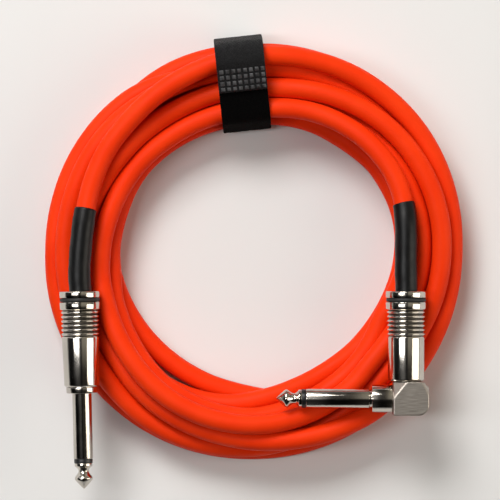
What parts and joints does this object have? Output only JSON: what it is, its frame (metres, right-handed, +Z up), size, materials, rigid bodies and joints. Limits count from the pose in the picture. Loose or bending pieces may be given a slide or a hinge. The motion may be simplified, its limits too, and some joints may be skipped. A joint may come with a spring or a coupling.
{
  "type": "coiled instrument cable",
  "caption": "Coiled orange instrument cable tied with a black hook-and-loop strap, with one straight and one right-angle jack plug in nickel barrels and black heat-shrink sleeves.",
  "frame": {"origin": "middle of the whole object's footprint, on the surface it lies on", "axes": "+Z up, the coil lies flat on z = 0; +Y towards the strap, both barrels run along -Y; +X towards the right-angle plug, whose pin points along -X"},
  "size_m": [0.1384, 0.1503, 0.0301],
  "materials": {
    "orange_jacket": "smooth satin PVC, neon orange",
    "black_heat_shrink": "matte black heat-shrink sleeve",
    "bright_nickel": "polished warm nickel plating",
    "brushed_nickel": "brushed warm nickel plating",
    "black_rubber_ring": "matte black rubber",
    "black_insulator": "black insulator ring",
    "white_dielectric": "white polyethylene",
    "copper": "bare copper",
    "tinned_brass": "tinned brass",
    "clear_tube": "clear plastic tube",
    "black_loop_pile": "black fuzzy loop pile",
    "black_woven_hook": "black woven hook tape"
  },
  "bodies": {
    "coil": {"cable_coil": "orange_jacket", "strap_loop_band": "black_loop_pile", "strap_hook_band": "black_woven_hook"},
    "strap_tab": {"strap_pull_tab": "black_woven_hook"},
    "straight_end": {"straight_cable_end": "orange_jacket", "straight_heat_shrink": "black_heat_shrink", "straight_sleeve_contact": "bright_nickel", "straight_tip_contact": "bright_nickel", "straight_tip_insulator": "black_insulator", "straight_rod_bush": "white_dielectric", "straight_core": "white_dielectric", "straight_centre_wire": "copper", "straight_shield_pigtail": "copper", "straight_tip_lug": "tinned_brass", "straight_ground_lug": "tinned_brass", "straight_insulating_tube": "clear_tube"},
    "straight_ring": {"straight_barrel_ring": "black_rubber_ring"},
    "straight_barrel": {"straight_barrel": "bright_nickel"},
    "angled_end": {"angled_cable_end": "orange_jacket", "angled_heat_shrink": "black_heat_shrink", "angled_sleeve_contact": "bright_nickel", "angled_tip_contact": "bright_nickel", "angled_tip_insulator": "black_insulator", "angled_rod_bush": "white_dielectric", "angled_core": "white_dielectric", "angled_centre_wire": "copper", "angled_shield_pigtail": "copper", "angled_tip_lug": "tinned_brass", "angled_ground_lug": "tinned_brass", "angled_insulating_tube": "clear_tube", "angled_elbow": "brushed_nickel"},
    "angled_ring": {"angled_barrel_ring": "black_rubber_ring"},
    "angled_barrel": {"angled_barrel": "bright_nickel"}
  },
  "joints": [
    {"name": "straight_lift", "type": "hinge", "parent": "coil", "child": "straight_end", "pos_m": [-0.01566, 0.06317, 0.02215], "axis": [-0.9322, 0.3621, 0], "range_deg": [0, 25]},
    {"name": "angled_lift", "type": "hinge", "parent": "coil", "child": "angled_end", "pos_m": [0.00879, 0.05001, 0.01651], "axis": [-0.8412, -0.5408, 0], "range_deg": [0, 25]},
    {"name": "straight_barrel_slide", "type": "slide", "parent": "straight_end", "child": "straight_ring", "axis": [-0.0227, 0.9997, 0], "range_m": [0, 0.014]},
    {"name": "straight_barrel_spin", "type": "hinge", "parent": "straight_ring", "child": "straight_barrel", "pos_m": [-0.05639, -0.04169, 0.0234], "axis": [-0.0227, 0.9997, 0], "range_deg": [0, 5039]},
    {"name": "angled_barrel_slide", "type": "slide", "parent": "angled_end", "child": "angled_ring", "axis": [0, 1, 0], "range_m": [0, 0.014]},
    {"name": "angled_barrel_spin", "type": "hinge", "parent": "angled_ring", "child": "angled_barrel", "pos_m": [0.05, -0.0398, 0.0234], "axis": [0, 1, 0], "range_deg": [0, 5039]},
    {"name": "strap_tab_peel", "type": "hinge", "parent": "coil", "child": "strap_tab", "pos_m": [-0.00509, 0.07165, 0.02221], "axis": [0.9945, 0.1045, 0], "range_deg": [0, 120]}
  ],
  "couplings": [
    {"joint": "straight_barrel_slide", "follows": "straight_barrel_spin", "m_per_rad": 0.00015915},
    {"joint": "angled_barrel_slide", "follows": "angled_barrel_spin", "m_per_rad": 0.00015915}
  ]
}
